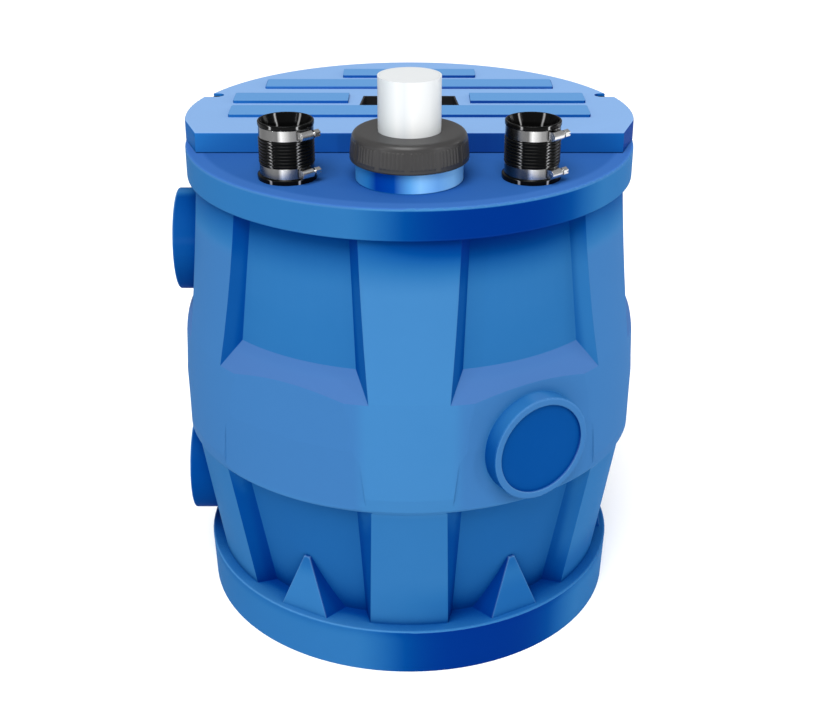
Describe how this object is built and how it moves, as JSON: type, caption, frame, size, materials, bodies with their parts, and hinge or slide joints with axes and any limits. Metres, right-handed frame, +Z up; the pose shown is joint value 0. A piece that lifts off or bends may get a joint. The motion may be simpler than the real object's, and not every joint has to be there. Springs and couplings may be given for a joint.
{
  "type": "sewage pumping station",
  "caption": "Moulded round sewage lifting tank with screwed cover, clamped rubber pipe couplings, centre pipe in a ring nut, blind pipe stubs and a submersible pump inside.",
  "frame": {"origin": "centre of the tank's flat underside", "axes": "+Z up, -Y towards the deck with the pipes (front), +X to the right seen from the front"},
  "size_m": [0.7429, 0.7532, 0.928],
  "materials": {
    "tank_blue": "satin moulded polyethylene",
    "lid_blue": "satin moulded polyethylene",
    "black_rubber": "smooth rubber",
    "black_plastic": "matt",
    "dark_plastic": "satin",
    "white_plastic": "matt",
    "white_pipe": "smooth extruded pipe",
    "grey_pipe": "grey pipe plastic",
    "orange_plastic": "satin",
    "red_plastic": "satin",
    "stainless": "rolled stainless steel",
    "steel": "machined",
    "cast_iron": "painted cast iron",
    "ceramic_black": "carbon and ceramic faces",
    "brass": "turned"
  },
  "bodies": {
    "station": {"tank": "tank_blue", "screw_inserts": "brass", "sealing_ring": "black_rubber", "centre_pipe": "white_pipe", "pipe_end_plug": "white_pipe", "left_coupling": "black_rubber", "right_coupling": "black_rubber", "clamp_bands": "stainless", "clamp_housings": "stainless", "clamp_screws": "stainless", "suction_foot": "cast_iron", "pump_casing": "cast_iron", "oil_chamber_plate": "cast_iron", "motor_casing": "cast_iron", "casing_screws": "stainless", "motor_cover": "cast_iron", "pump_handle": "stainless", "cable_gland": "brass", "stator": "steel", "lower_bearing": "steel", "upper_bearing": "steel", "shaft_seal": "ceramic_black", "float_bracket": "black_plastic", "float_rod": "stainless", "float_stops": "black_plastic", "switch_head": "black_plastic", "outlet_elbow": "cast_iron", "outlet_bolts": "stainless", "lower_riser": "grey_pipe", "union_nut": "grey_pipe", "check_valve_body": "cast_iron", "check_valve_cap": "cast_iron", "stop_valve_body": "grey_pipe", "stop_valve_end": "grey_pipe", "upper_riser": "grey_pipe", "vent_tail_pipe": "grey_pipe"},
    "cover": {"lid": "lid_blue", "lid_gasket": "black_rubber", "lid_grip_tray": "black_plastic", "lid_screws": "stainless"},
    "slip_ring": {"slip_ring": "white_plastic"},
    "ring_nut": {"ring_nut": "dark_plastic"},
    "impeller_set": {"pump_shaft": "stainless", "rotor": "steel", "impeller": "cast_iron", "impeller_nut": "stainless"},
    "float": {"switch_float": "orange_plastic"},
    "check_ball": {"check_ball": "black_rubber"},
    "stop_valve": {"valve_ball": "grey_pipe", "valve_lever": "red_plastic"}
  },
  "joints": [
    {"name": "lid_lift", "type": "slide", "parent": "station", "child": "cover", "axis": [0, 0, 1], "range_m": [0, 0.3]},
    {"name": "nut_rise", "type": "slide", "parent": "station", "child": "slip_ring", "axis": [0, 0, 1], "range_m": [0, 0.0242]},
    {"name": "nut_turn", "type": "hinge", "parent": "slip_ring", "child": "ring_nut", "pos_m": [0, -0.2146, 0.82], "axis": [0, 0, 1], "range_deg": [0, 1440]},
    {"name": "impeller_spin", "type": "hinge", "parent": "station", "child": "impeller_set", "pos_m": [-0.03503, 0.04879, 0.13], "axis": [0, 0, 1], "continuous": true},
    {"name": "float_slide", "type": "slide", "parent": "station", "child": "float", "axis": [0, 0, 1], "range_m": [0, 0.174]},
    {"name": "check_ball_lift", "type": "slide", "parent": "station", "child": "check_ball", "axis": [0, 0, 1], "range_m": [0, 0.018]},
    {"name": "valve_turn", "type": "hinge", "parent": "station", "child": "stop_valve", "pos_m": [0.175, -0.211, 0.546], "axis": [-0.5, 0.866, 0], "range_deg": [0, 90]}
  ],
  "couplings": [
    {"joint": "nut_rise", "follows": "nut_turn", "m_per_rad": 0.00095493}
  ]
}
